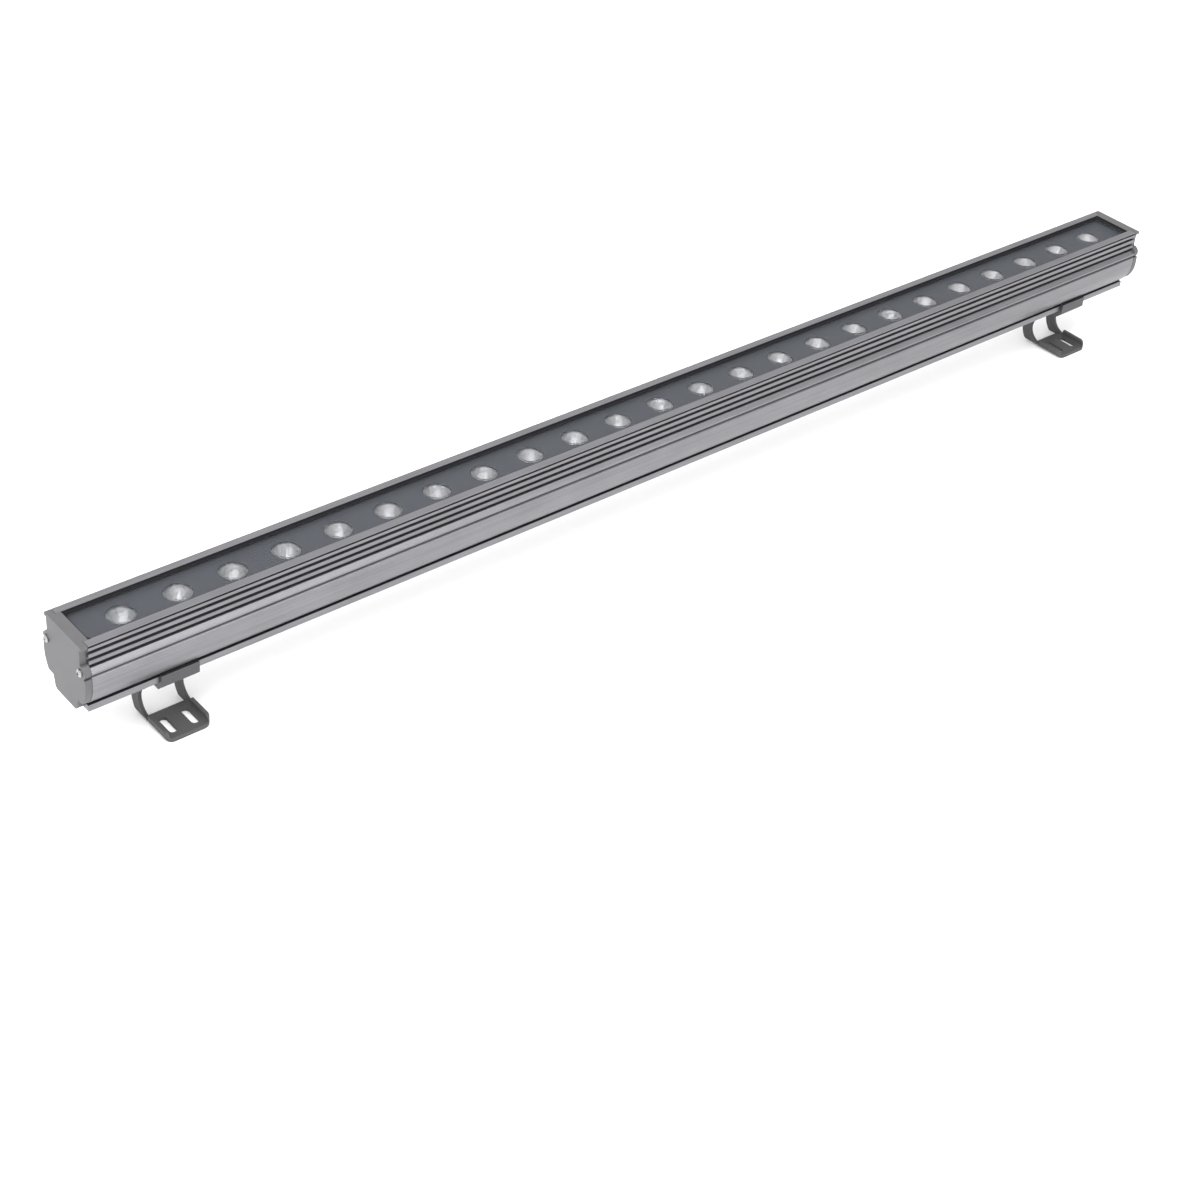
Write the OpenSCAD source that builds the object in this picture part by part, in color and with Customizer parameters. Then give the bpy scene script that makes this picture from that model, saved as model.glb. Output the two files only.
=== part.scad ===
// Outdoor linear floodlight: an aluminium profile with a row of lenses behind a front glass,
// carried on two tilting feet that clamp on a rail under the profile.
// X runs along the light, Y across it, and Z points up, the way the light shines.
// The origin lies on the mounting surface, on the line of the fixing slots, midway along the light.

/* [Profile] */
// Overall length over both end caps
body_l = 1000; // [600:1:1200]
// Width across the front rim
rim_w = 45; // [44.5:0.5:48]
// Width across the side fins
fin_w = 45; // [44.5:0.5:46]
// Widest width of the lower body
belly_w = 51.4; // [49:0.2:56]
// Height from the front rim to the underside of the rail
body_h = 53; // [50:0.5:58]
// Radius of the curved lower sides
side_r = 24; // [22:0.5:28]
// Depth below the rim where the lower sides start to curve in
curve_z = 29; // [26:0.5:32]
// Thickness of the lower side walls
side_wall = 2.8; // [2.8:0.1:3.4]
// Thickness of the floor over the rail
floor_t = 4; // [3.6:0.1:5]
// Edge chamfer along the rim
rim_chamfer = 0.2; // [0.1:0.1:0.3]

/* [Side fins] */
// Depth of the narrow groove right under the rim
top_groove_z = 1.2; // [1.2:0.1:1.8]
// Width of the narrow groove
top_groove_w = 1.4; // [0.8:0.1:1.4]
// How deep the narrow groove is cut
top_groove_d = 1.6; // [0.8:0.1:2]
// Depth of the middle of each wide groove below the rim
groove_depths = [5.2, 10.4, 15.5];
// Width of a wide groove
groove_w = 2.5; // [1.4:0.1:2.6]
// How deep a wide groove is cut
groove_d = 2.8; // [1.5:0.1:3]
// Depth below the rim where the fins end and the shoulder begins
shoulder_z = 16.9; // [16.8:0.1:17.4]
// Height of the sloping shoulder
shoulder_h = 2; // [1:0.1:3]
// Depth of the upper edge of the fine groove below the shoulder
line_groove_z = 20.1; // [19.9:0.1:20.8]
// Width and depth of the fine groove
line_groove = 1.6; // [0.8:0.1:1.7]
// How far the lower edge of the fine groove slopes away
line_groove_slope = 1; // [0:0.1:1.2]

/* [Bottom rail] */
// Width of the rail flanges
rail_w = 37; // [34:0.5:40]
// Thickness of the rail flanges
rail_t = 4.6; // [3:0.1:6]
// Open gap between the body and the rail flanges
rail_gap = 2; // [1.6:0.1:3]
// Width of the neck that joins the rail to the body
neck_w = 27; // [18:0.5:29]

/* [Front window] */
// Width of the window opening between the rims
window_w = 33.4; // [32:0.2:35]
// Depth of the glass below the rim
glass_recess = 1.6; // [1:0.1:2.5]
// Thickness of the front glass
glass_t = 3; // [2:0.1:4]
// How far the glass reaches under each rim
glass_grip = 2; // [1:0.1:2.4]
// Thickness of the silicone strips under the glass
seal_t = 0.4; // [0.2:0.1:0.8]
// Thickness of the dark plate round the lenses
bezel_t = 1.2; // [0.8:0.1:1.6]
// Gap from the silicone ledge to the dark plate
bezel_drop = 0.3; // [0.2:0.1:0.6]
// How deep the dark plate slides into the side walls
bezel_grip = 0.8; // [0.4:0.1:1]

/* [Optics] */
// Distance from lens to lens
led_pitch = 40; // [30:1:60]
// Least distance from the end of the light to half a pitch before the first lens
led_end = 20; // [15:1:40]
// Outer diameter of a lens
lens_d = 19.4; // [16:0.2:24]
// Diameter of the narrow end of a lens
lens_foot_d = 10; // [8:0.5:12]
// Thickness of the round edge of a lens
lens_edge_t = 2; // [1:0.1:3]
// Height of the convex front of a lens
lens_crown = 0.6; // [0.3:0.1:0.7]
// Diameter of the pocket that takes the chip
lens_pocket_d = 5.6; // [5.2:0.1:7]
// Depth of the pocket that takes the chip
lens_pocket_h = 3.2; // [2.6:0.1:5]
// Width of a circuit board
board_w = 30; // [26:0.5:33]
// Thickness of a circuit board
board_t = 1.6; // [1:0.1:2]
// Side of a chip package
chip_w = 3.5; // [2.8:0.1:3.6]
// Height of a chip package without its dome
chip_h = 0.8; // [0.5:0.1:1]
// Diameter of the dome on a chip
chip_dome_d = 2.6; // [2:0.1:2.8]

/* [Inner shelf] */
// Depth of the shelf that the boards lie on
shelf_z = 19.5; // [18:0.1:20]
// Thickness of the shelf
shelf_t = 2.5; // [2:0.1:3.5]
// Distance of the cap screw ports from the widest sides
port_in = 5.1; // [4.8:0.1:5.3]
// Depth of the cap screw ports below the rim
port_z = 19; // [18.9:0.1:19.4]

/* [End caps] */
// Thickness of an end cap
cap_t = 4.4; // [3:0.1:6]
// Thickness of a cap gasket
gasket_t = 0.6; // [0.4:0.1:1.5]
// How far a gasket stands back from the outline of the cap
gasket_inset = 0.3; // [0.1:0.1:0.3]
// How far the lip of a cap reaches over the glass
cap_lip = 3.3; // [2:0.1:6]
// Height of the cap's brow, which is as wide as the fins
brow_h = 2.4; // [2:0.1:4]
// Width of a cap below its brow, where the ends of the fins stay in sight
waist_w = 40.4; // [39.6:0.2:42]
// Radius of the ear round a cap screw
ear_r = 5; // [4.9:0.1:5.2]
// Depth where the cap widens again under its ears
cheek_z = 22.6; // [22.4:0.1:22.8]
// How far above the bottom of the lower sides a cap steps in to its tail
cap_step_up = 3; // [1:0.1:3.1]
// Width of the tail where it begins
tail_top_w = 30.6; // [29:0.2:33]
// Width of the tail at its lower end
tail_w = 27.6; // [24:0.2:29]
// Corner radius at the lower end of a cap
tail_r = 3.5; // [1:0.5:5]
// Length of a cap's two ribs that fit inside the profile
plug_l = 3; // [2:0.1:5]
// Width of a cap's ribs where they are widest
plug_rib_w = 6; // [5:0.1:7]

/* [Power] */
// Length of the driver tray
tray_l = 200; // [120:1:240]
// Width of the driver tray
tray_w = 34; // [26:0.5:35]
// Height of the driver tray
tray_h = 13; // [9:0.5:16]
// Wall of the driver tray
tray_wall = 1.2; // [0.8:0.1:2]
// Height of the posts under the driver board
post_h = 3; // [2:0.1:4]
// Distance from the driver tray to the inside of the right cap
tray_end_gap = 62; // [40:1:120]
// Width of the openings in the ends of the driver tray
tray_gate_w = 12; // [8:0.5:16]
// Length, width and height of the transformer
transformer = [22, 20, 11]; // [8:0.5:26]
// Diameter and height of the ring choke
choke = [14, 7]; // [5:0.5:18]
// Least distance from the driver tray to the hole for its leads
lead_run = 24; // [14:1:40]
// Diameter of an insulated lead
lead_d = 1.8; // [1.2:0.1:2]

/* [Cable gland] */
// Thread diameter of the gland
gland_d = 12; // [10:0.5:14]
// Width across the flats of the gland
gland_af = 15; // [14:0.5:17]
// Thickness of the gland's hexagon
gland_hex_t = 4; // [3:0.5:5]
// Length of the gland's nut
gland_nut_l = 10; // [8:0.5:12]
// Bore of the gland's rubber bush, which takes the cable
cable_d = 6.5; // [5:0.1:7]

/* [Feet] */
// Distance from the left end of the light to the middle of the left foot
left_inset = 68; // [45:0.5:200]
// Distance from the right end of the light to the middle of the right foot
right_inset = 71.5; // [45:0.5:200]
// Distance from the slots to the tilt axis
slot_setback = 17; // [14:0.5:20]
// Height of the tilt axis over the mounting surface
pivot_h = 31; // [29:0.5:36]
// Distance from the tilt axis to the underside of the rail
pivot_drop = 9; // [9:0.5:14]
// Outside width of a foot
foot_w = 33; // [30:0.5:40]
// Thickness of the sheet steel
sheet_t = 2.5; // [2:0.1:3]
// Distance from the tilt axis to the front edge of a foot
foot_front = 31; // [28:0.5:36]
// Distance from the tilt axis to the rear edge of the foot's plate
foot_rear = 2; // [0:0.5:4]
// Height of the side walls of a foot
flange_h = 6.5; // [5:0.5:9]
// Corner radius at the front of a foot
foot_corner_r = 6; // [3:0.5:8]
// Bend radius outside the folded sides
bend_r = 3; // [2.6:0.1:4]
// Radius of the middle line of a curved arm
arm_r = 16; // [15:0.5:18]
// Width of a curved arm
arm_w = 9; // [7:0.5:11]
// How far in front of the tilt axis the arm's curve is centred
arm_back = 7; // [5:0.5:9]
// How far below the tilt axis the arm's curve is centred
arm_drop = 16.5; // [15:0.5:18]
// Radius of the eye round the tilt axis
eye_r = 5.5; // [5.2:0.1:6.5]
// Width of a fixing slot
slot_w = 5.5; // [4.5:0.1:6.5]
// Length of a fixing slot
slot_l = 17; // [10:0.5:18]
// Distance between the two fixing slots of a foot
slot_pitch = 16; // [14:0.5:18]

/* [Clamps] */
// Distance of a clamp's outer face beyond the rail
hook_t = 2.7; // [2:0.1:4]
// How far a clamp's hook reaches over the rail flange
hook_reach = 3.4; // [2:0.1:4]
// Thickness of a clamp under the rail
clamp_t = 6.7; // [6:0.1:8]
// Radius of the clamp's lug round the tilt axis
lug_r = 5; // [4.6:0.1:6]
// Where the loose jaw begins, behind the tilt axis
jaw_y = 9; // [8:0.1:11]
// Gap that the clamp screws close
jaw_gap = 0.6; // [0.4:0.1:1.2]
// Distance between the two clamp screws
clamp_screw_pitch = 16; // [12:0.5:18]

/* [Fasteners] */
// Diameter of a pivot bolt
pivot_d = 5; // [4:0.1:5.5]
// Thickness of a pivot washer
washer_t = 1; // [0.6:0.1:1.5]
// Diameter of a pivot washer
washer_d = 10; // [8:0.5:11]
// Width across the flats of a pivot bolt and its nut
pivot_af = 8; // [7:0.5:9]
// Thickness of a pivot bolt's head
pivot_head_h = 3.5; // [3:0.1:4.5]
// Thickness of a pivot nut
pivot_nut_h = 5; // [4:0.1:6]
// Diameter of a clamp screw
clamp_screw_d = 4; // [3:0.1:4]
// Diameter of a clamp screw's head
clamp_head_d = 7; // [5.5:0.1:7]
// Height of a clamp screw's head
clamp_head_h = 4; // [3:0.1:4]
// Diameter of a cap screw
cap_screw_d = 3; // [2.5:0.1:3.2]
// Length of a cap screw in the profile
cap_screw_bite = 8; // [5:0.5:12]
// Diameter of a small screw's round head
pan_d = 5.6; // [5:0.1:6]
// Height of a small screw's round head
pan_h = 2; // [1.6:0.1:2.4]
// Diameter of a board screw
board_screw_d = 3; // [2.5:0.1:3]

/* [Fits] */
// Gap between pieces that slide past each other
slide_gap = 0.3; // [0.2:0.05:0.5]
// Radial clearance of a turning fit
turn_gap = 0.08; // [0.02:0.01:0.1]
// Gap round pieces that are laid or slid into place
seat_gap = 0.1; // [0.05:0.05:0.2]
// Gap between the washers and the arms that turn beside them
side_gap = 0.05; // [0.05:0.05:0.2]

/* [Hidden] */
$fn = 64;
LEFT = -1;
RIGHT = 1;
eps = 0.01;
// How far joined outlines run into each other
overlap = 1;

// Heights and lengths that follow from the sizes above
axis_y = slot_setback;
top_z = pivot_h + pivot_drop + body_h;
belly_z = body_h - rail_t - rail_gap;
housing_l = body_l - 2 * (cap_t + gasket_t);
ledge_z = glass_recess + glass_t + seal_t;
bezel_z = ledge_z + bezel_drop;
board_z = shelf_z - board_t;
shelf_under_z = shelf_z + shelf_t;
chamber_floor_z = belly_z - floor_t;
chamber_w = window_w;
port_y = belly_w / 2 - port_in;
cap_step_z = belly_z - cap_step_up;
// The gland stands at half the height of the driver's chamber
gland_z = (shelf_under_z + chamber_floor_z) / 2;
leds_per_board = floor((body_l / 2 - led_end) / led_pitch);
board_l = leds_per_board * led_pitch;
first_groove_top = top_groove_z - top_groove_w / 2;
clamp_w = foot_w - 2 * (sheet_t + slide_gap);
lens_h = board_z - bezel_z;
arm_centre_z = pivot_h - arm_drop;
tray_x = housing_l / 2 - tray_end_gap - tray_l;
// Gap between the two boards where they meet
board_gap = 0.5;
// Bore in the profile that a cap screw cuts its thread into
port_d = cap_screw_d + 0.1;
// Play round a screw where it passes through a piece
screw_play = 0.4;
// Screws of a board sit between its lenses, counted from the middle of the light
board_screw_places = [1, round(leds_per_board / 3), leds_per_board - 1];
// Place where the driver's leads come up through the shelf, between two lenses
lead_x = led_pitch * floor((tray_x - lead_run) / led_pitch + 0.5);
lead_hole_d = 8;

function led_x(side, i) = side * (i + 0.5) * led_pitch;
function foot_x(side) = side * body_l / 2 - side * (side == LEFT ? left_inset : right_inset);
function hex_d(across_flats) = across_flats / cos(30);

// Placing

module both_sides() {
    children();
    mirror([1, 0]) children();
}

// Runs a cross-section, drawn as across and up from the rim, along the light
module along_light(x_from, length) {
    translate([x_from, axis_y, top_z]) rotate([90, 0, 90]) linear_extrude(length) children();
}

module at_end(side) {
    translate([side * body_l / 2, axis_y, top_z]) turned_to(side) children();
}

// Turns pieces of the right end round to the left end
module turned_to(side) {
    if (side == RIGHT) children();
    else mirror([1, 0, 0]) children();
}

module at_foot(side) {
    translate([foot_x(side), axis_y, 0]) children();
}

// A cylinder from low to high along X, Y or Z, centred on its own axis
module rod_x(d, low, high) {
    translate([low, 0, 0]) rotate([0, 90, 0]) cylinder(d = d, h = high - low);
}

module rod_y(d, low, high) {
    translate([0, low, 0]) rotate([-90, 0, 0]) cylinder(d = d, h = high - low);
}

// Small screw with a round head: the head stands on z = 0, the shank hangs below
module pan_screw(d, length) {
    crown_r = (pan_d * pan_d / 4 + pan_h * pan_h / 4) / pan_h;
    translate([0, 0, -length]) cylinder(d = d, h = length + pan_h / 2);
    difference() {
        union() {
            cylinder(d = pan_d, h = pan_h / 2);
            intersection() {
                translate([0, 0, pan_h - crown_r]) sphere(r = crown_r);
                translate([0, 0, pan_h / 2 - eps]) cylinder(d = pan_d, h = pan_h);
            }
        }
        for (turn = [0, 90]) {
            rotate([0, 0, turn]) translate([-1.3, -0.3, pan_h - 0.8]) cube([2.6, 0.6, 1]);
        }
    }
}

// Cross-sections of the profile

// Lower body: straight sides, then an arc on each side, all drawn in by inset
module belly(inset, from_z, to_z) {
    half = belly_w / 2 - inset;
    translate([-half, -curve_z]) square([2 * half, curve_z - from_z]);
    intersection() {
        for (side = [LEFT, RIGHT]) {
            translate([side * (belly_w / 2 - side_r), -curve_z]) circle(r = side_r - inset);
        }
        translate([-half, -to_z]) square([2 * half, to_z - curve_z + overlap]);
    }
}

// Fin zone and the sloping shoulder under it, drawn in by inset
module fin_zone(inset) {
    half = fin_w / 2 - inset;
    wide = belly_w / 2 - inset;
    shoulder_end = shoulder_z + shoulder_h;
    polygon([
        [half, -inset], [-half, -inset], [-half, -shoulder_z], [-wide, -shoulder_end],
        [-wide, -shoulder_end - overlap], [wide, -shoulder_end - overlap], [wide, -shoulder_end], [half, -shoulder_z]
    ]);
}

module rim() {
    half = rim_w / 2;
    polygon([
        [half - rim_chamfer, 0], [-half + rim_chamfer, 0], [-half, -rim_chamfer],
        [-half, -first_groove_top], [half, -first_groove_top], [half, -rim_chamfer]
    ]);
}

module rail() {
    translate([-rail_w / 2, -body_h]) square([rail_w, rail_t]);
    translate([-neck_w / 2, -body_h + rail_t - overlap]) square([neck_w, rail_gap + 2 * overlap]);
}

// One side groove with a round root
module fin_groove(depth, width, cut) {
    root = fin_w / 2 - cut + width / 2;
    translate([root, -depth]) circle(d = width);
    translate([root, -depth - width / 2]) square([cut + rim_w - fin_w + overlap, width]);
}

module fin_grooves() {
    fin_groove(top_groove_z, top_groove_w, top_groove_d);
    for (depth = groove_depths) {
        fin_groove(depth, groove_w, groove_d);
    }
}

// Fine groove with a flat upper face and a sloping lower edge
module line_groove_cut() {
    inner = belly_w / 2 - line_groove;
    outer = belly_w / 2 + line_groove;
    low = line_groove_z + line_groove;
    polygon([
        [inner, -line_groove_z], [inner, -low], [outer, -low - 2 * line_groove_slope], [outer, -line_groove_z]
    ]);
}

// Room for the driver, under the shelf
module driver_room(inset) {
    belly(side_wall + inset, shelf_under_z + inset, chamber_floor_z - inset);
}

module front_room() {
    slot_half = window_w / 2 + glass_grip;
    bezel_half = chamber_w / 2 + bezel_grip;
    translate([-window_w / 2, -ledge_z]) square([window_w, ledge_z + 1]);
    translate([-slot_half, -ledge_z]) square([2 * slot_half, ledge_z - glass_recess]);
    translate([-chamber_w / 2, -shelf_z]) square([chamber_w, shelf_z - ledge_z + eps]);
    translate([-bezel_half, -bezel_z - bezel_t - seat_gap]) square([2 * bezel_half, bezel_t + 2 * seat_gap]);
}

module profile_section() {
    difference() {
        union() {
            rim();
            fin_zone(0);
            belly(0, shoulder_z + shoulder_h, belly_z);
            rail();
        }
        both_sides() {
            fin_grooves();
            line_groove_cut();
            translate([port_y, -port_z]) circle(d = port_d);
        }
        front_room();
        driver_room(0);
    }
}

// Outline of an end cap and, drawn in a little, of its gasket
module cap_outline(inset) {
    brow_half = fin_w / 2 - inset;
    waist_half = waist_w / 2 - inset;
    translate([-brow_half, -brow_h]) square([2 * brow_half, brow_h - inset]);
    translate([-waist_half, -curve_z]) square([2 * waist_half, curve_z - brow_h + overlap]);
    for (side = [LEFT, RIGHT]) {
        translate([side * port_y, -port_z]) circle(r = ear_r - inset);
    }
    belly(inset, cheek_z, cap_step_z - inset);
    cap_tail(inset);
}

// Lower end of a cap, tapered and with round corners
module cap_tail(inset) {
    top_half = tail_top_w / 2 - inset;
    half = tail_w / 2 - inset;
    flat = tail_w / 2 - tail_r;
    polygon([
        [half, -body_h + tail_r], [top_half, -cap_step_z], [top_half, -cap_step_z + overlap],
        [-top_half, -cap_step_z + overlap], [-top_half, -cap_step_z], [-half, -body_h + tail_r]
    ]);
    translate([-flat, -body_h + inset]) square([2 * flat, tail_r + overlap]);
    for (side = [LEFT, RIGHT]) {
        translate([side * flat, -body_h + tail_r]) circle(r = tail_r - inset);
    }
}

// Profile

module housing() {
    color("#a9abb0") difference() {
        along_light(-housing_l / 2, housing_l) profile_section();
        translate([0, axis_y, top_z - shelf_under_z - 1]) {
            for (side = [LEFT, RIGHT], place = board_screw_places) {
                translate([side * place * led_pitch, 0, 0]) cylinder(d = board_screw_d, h = shelf_t + 2);
            }
            translate([lead_x, 0, 0]) cylinder(d = lead_hole_d, h = shelf_t + 2);
        }
    }
}

// End caps, seen from the outside of the right end, with the end face at x = 0

module cap_body() {
    difference() {
        union() {
            rotate([90, 0, 90]) translate([0, 0, -cap_t]) linear_extrude(cap_t) cap_outline(0);
            lip_l = cap_t + gasket_t + cap_lip;
            translate([-lip_l, -window_w / 2 + seat_gap, -glass_recess + seat_gap])
                cube([lip_l, window_w - 2 * seat_gap, glass_recess - seat_gap]);
            plug = cap_t + gasket_t + plug_l;
            rotate([90, 0, 90]) translate([0, 0, -plug]) linear_extrude(plug - cap_t + eps) difference() {
                driver_room(slide_gap);
                rib_inner = belly_w / 2 - side_wall - slide_gap - plug_rib_w;
                translate([-rib_inner, -body_h]) square([2 * rib_inner, body_h]);
            }
        }
        for (y = [-port_y, port_y]) {
            translate([0, y, -port_z]) rod_x(cap_screw_d + screw_play, -cap_t - 1, 1);
        }
    }
}

module end_cap_left() {
    color("#94959a") at_end(LEFT) cap_body();
}

module end_cap_right() {
    color("#94959a") at_end(RIGHT) difference() {
        cap_body();
        translate([0, 0, -gland_z]) rod_x(gland_d + 2 * seat_gap, -cap_t - 1, 1);
    }
}

module cap_gasket(side) {
    color("#2b2d30") at_end(side)
        rotate([90, 0, 90]) translate([0, 0, -cap_t - gasket_t]) linear_extrude(gasket_t) difference() {
            cap_outline(gasket_inset);
            driver_room(slide_gap - seat_gap);
            translate([-window_w / 2, -glass_recess]) square([window_w, glass_recess + 1]);
            both_sides() translate([port_y, -port_z]) circle(d = cap_screw_d + screw_play);
        }
}

module cap_screws(side) {
    color("#d8dade") at_end(side) for (y = [-port_y, port_y]) {
        translate([0, y, -port_z]) rotate([0, 90, 0]) pan_screw(cap_screw_d, cap_t + gasket_t + cap_screw_bite);
    }
}

// Front window

module front_glass() {
    length = housing_l - 2 * slide_gap;
    half = window_w / 2 + glass_grip - slide_gap;
    color("#6a727a", 0.4) along_light(-length / 2, length)
        translate([-half, -glass_recess - glass_t]) square([2 * half, glass_t - seat_gap]);
}

module glass_seals() {
    length = housing_l - 2 * slide_gap;
    strip_w = glass_grip - slide_gap;
    color("#3c3f44") along_light(-length / 2, length)
        both_sides() translate([window_w / 2, -ledge_z]) square([strip_w, seal_t]);
}

module lens_bezel() {
    length = housing_l - 2 * slide_gap;
    half = chamber_w / 2 + bezel_grip - seat_gap;
    color("#4a4f57") difference() {
        along_light(-length / 2, length) translate([-half, -bezel_z - bezel_t]) square([2 * half, bezel_t]);
        for (side = [LEFT, RIGHT], i = [0 : leds_per_board - 1]) {
            translate([led_x(side, i), axis_y, top_z - bezel_z - bezel_t - 1])
                cylinder(d = lens_d + 2 * seat_gap, h = bezel_t + 2);
        }
    }
}

// Lenses, chips and boards

module lens() {
    crown_r = (lens_d * lens_d / 4 + lens_crown * lens_crown) / (2 * lens_crown);
    difference() {
        union() {
            cylinder(d1 = lens_foot_d, d2 = lens_d - 1, h = lens_h - lens_edge_t + eps);
            translate([0, 0, lens_h - lens_edge_t]) cylinder(d = lens_d, h = lens_edge_t);
            intersection() {
                translate([0, 0, lens_h + lens_crown - crown_r]) sphere(r = crown_r);
                translate([0, 0, lens_h - eps]) cylinder(d = lens_d, h = 2 * lens_crown);
            }
        }
        translate([0, 0, -1]) cylinder(d = lens_pocket_d, h = lens_pocket_h + 1);
    }
}

module lens_row(side) {
    color("#d5dade", 0.8) for (i = [0 : leds_per_board - 1]) {
        translate([led_x(side, i), axis_y, top_z - board_z]) lens();
    }
}

module chip_row(side) {
    color("#f2e27a") for (i = [0 : leds_per_board - 1]) {
        translate([led_x(side, i), axis_y, top_z - board_z]) {
            translate([-chip_w / 2, -chip_w / 2, 0]) cube([chip_w, chip_w, chip_h]);
            intersection() {
                translate([0, 0, chip_h]) sphere(d = chip_dome_d);
                translate([0, 0, chip_h - eps]) cylinder(d = chip_dome_d + 1, h = chip_dome_d);
            }
        }
    }
}

module led_board(side) {
    low = side == RIGHT ? board_gap / 2 : -board_l + board_gap / 2;
    color("#e9ebe6") difference() {
        translate([low, axis_y - board_w / 2, top_z - shelf_z]) cube([board_l - board_gap, board_w, board_t]);
        for (place = board_screw_places) {
            translate([side * place * led_pitch, axis_y, top_z - shelf_z - 1])
                cylinder(d = board_screw_d + screw_play, h = board_t + 2);
        }
        translate([lead_x, axis_y, top_z - shelf_z - 1]) cylinder(d = lead_hole_d, h = board_t + 2);
    }
}

module board_screws(side) {
    color("#c9ccd1") for (place = board_screw_places) {
        translate([side * place * led_pitch, axis_y, top_z - board_z])
            pan_screw(board_screw_d - seat_gap, board_t + shelf_t);
    }
}

// Plug-in connector that carries current from one board to the other
module board_link() {
    color("#f4f4f0") difference() {
        translate([-7, axis_y - 3, top_z - board_z]) cube([14, 6, 2.4]);
        for (y = [-1.4, 1.4], x = [-5.6, 4]) {
            translate([x, axis_y + y - 0.5, top_z - board_z + 1.6]) cube([1.6, 1, 1]);
        }
    }
}

// Driver, under the shelf near the cable end

module at_tray() {
    translate([tray_x, axis_y, top_z - chamber_floor_z]) children();
}

driver_board_z = tray_wall + post_h;
driver_board_t = 1.6;
driver_board_play = 1;

module driver_tray() {
    color("#e4e4e0") at_tray() {
        difference() {
            translate([0, -tray_w / 2, 0]) cube([tray_l, tray_w, tray_h]);
            translate([tray_wall, -tray_w / 2 + tray_wall, tray_wall])
                cube([tray_l - 2 * tray_wall, tray_w - 2 * tray_wall, tray_h]);
            for (x = [0, tray_l - tray_wall]) {
                translate([x - 1, -tray_gate_w / 2, driver_board_z]) cube([tray_wall + 2, tray_gate_w, tray_h]);
            }
        }
        for (x = [10, tray_l - 10], y = [-tray_w / 2 + 5, tray_w / 2 - 5]) {
            translate([x, y, tray_wall - eps]) cylinder(d = 4, h = post_h + eps);
        }
    }
}

module driver_board() {
    edge = tray_wall + driver_board_play;
    color("#2e6b43") at_tray() translate([edge, -tray_w / 2 + edge, driver_board_z])
        cube([tray_l - 2 * edge, tray_w - 2 * edge, driver_board_t]);
}

module on_driver_board(x, y) {
    at_tray() translate([x, y, driver_board_z + driver_board_t]) children();
}

module driver_transformer() {
    base_h = 3;
    cheek_t = 4;
    cheek_x = transformer[0] / 2 - 2;
    color("#4d4a45") {
        on_driver_board(tray_l * 0.45, 0) {
            translate([-transformer[0] / 2, -transformer[1] / 2 + 1, 0])
                cube([transformer[0], transformer[1] - 2, base_h]);
            for (x = [-cheek_x, cheek_x - cheek_t]) {
                translate([x, -transformer[1] / 2, base_h - eps])
                    cube([cheek_t, transformer[1], transformer[2] - base_h]);
            }
            translate([-cheek_x + cheek_t - eps, -transformer[1] / 2 + 3, base_h + 1])
                cube([2 * (cheek_x - cheek_t + eps), transformer[1] - 6, transformer[2] - base_h - 2]);
        }
        on_driver_board(tray_l * 0.18, 0) difference() {
            cylinder(d = choke[0], h = choke[1]);
            translate([0, 0, -1]) cylinder(d = choke[0] - 8, h = choke[1] + 2);
        }
    }
}

module driver_capacitors() {
    color("#23252b") {
        on_driver_board(tray_l * 0.7, 0) translate([0, 0, 5]) rod_x(10, -11, 11);
        on_driver_board(tray_l * 0.88, 0) for (y = [-5, 5]) {
            translate([0, y, 0]) cylinder(d = 8, h = 10);
        }
    }
}

// Two leads from the driver up through the shelf to the right board
module driver_leads() {
    bend = 3;
    start_x = tray_x + 6;
    low_z = top_z - chamber_floor_z + driver_board_z + driver_board_t + lead_d / 2;
    high_z = top_z - board_z + lead_d / 2;
    color("#b8352c") for (y = [-1.2, 1.2]) {
        translate([0, axis_y + y, 0]) {
            translate([0, 0, low_z]) rod_x(lead_d, lead_x + bend, start_x);
            translate([lead_x + bend, 0, low_z + bend]) rotate([90, 180, 0]) rotate_extrude(angle = 90)
                translate([bend, 0]) circle(d = lead_d);
            translate([lead_x, 0, low_z + bend]) cylinder(d = lead_d, h = high_z - low_z - 2 * bend);
            translate([lead_x + bend, 0, high_z - bend]) rotate([90, 270, 0]) rotate_extrude(angle = 90)
                translate([bend, 0]) circle(d = lead_d);
            translate([0, 0, high_z]) rod_x(lead_d, lead_x + bend, lead_x + bend + 4);
        }
    }
}

// Cable gland in the right end cap, without its cable

gland_locknut_t = 3;
gland_stub_l = cap_t + gland_locknut_t + 1;
gland_front_l = gland_nut_l - 3;
gland_washer_t = 1;
gland_bush_d = 9;
gland_bush_l = 8;
// Hole that leaves the cable free on both sides of the bush
gland_pass_d = cable_d + 1.6;

module at_gland() {
    at_end(RIGHT) translate([0, 0, -gland_z]) children();
}

module gland_body() {
    face = gland_washer_t;
    color("#3a3c40") at_gland() difference() {
        union() {
            translate([face, 0, 0]) rotate([0, 90, 0]) cylinder(d = hex_d(gland_af), h = gland_hex_t, $fn = 6);
            rod_x(gland_d, -gland_stub_l, face + eps);
            rod_x(gland_d - 1, face + gland_hex_t - eps, face + gland_hex_t + gland_front_l);
        }
        rod_x(gland_bush_d, face + 2, face + gland_hex_t + gland_front_l + 1);
        rod_x(gland_pass_d, -gland_stub_l - 1, face + 3);
    }
}

module gland_washer() {
    color("#1d1e20") at_gland() difference() {
        rod_x(gland_af - 0.5, 0, gland_washer_t);
        rod_x(gland_d + 2 * seat_gap, -1, gland_washer_t + 1);
    }
}

module gland_seal() {
    low = gland_washer_t + 2 + seat_gap;
    color("#232426") at_gland() difference() {
        rod_x(gland_bush_d - 2 * seat_gap, low, low + gland_bush_l);
        rod_x(cable_d, low - 1, low + gland_bush_l + 1);
    }
}

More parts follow.
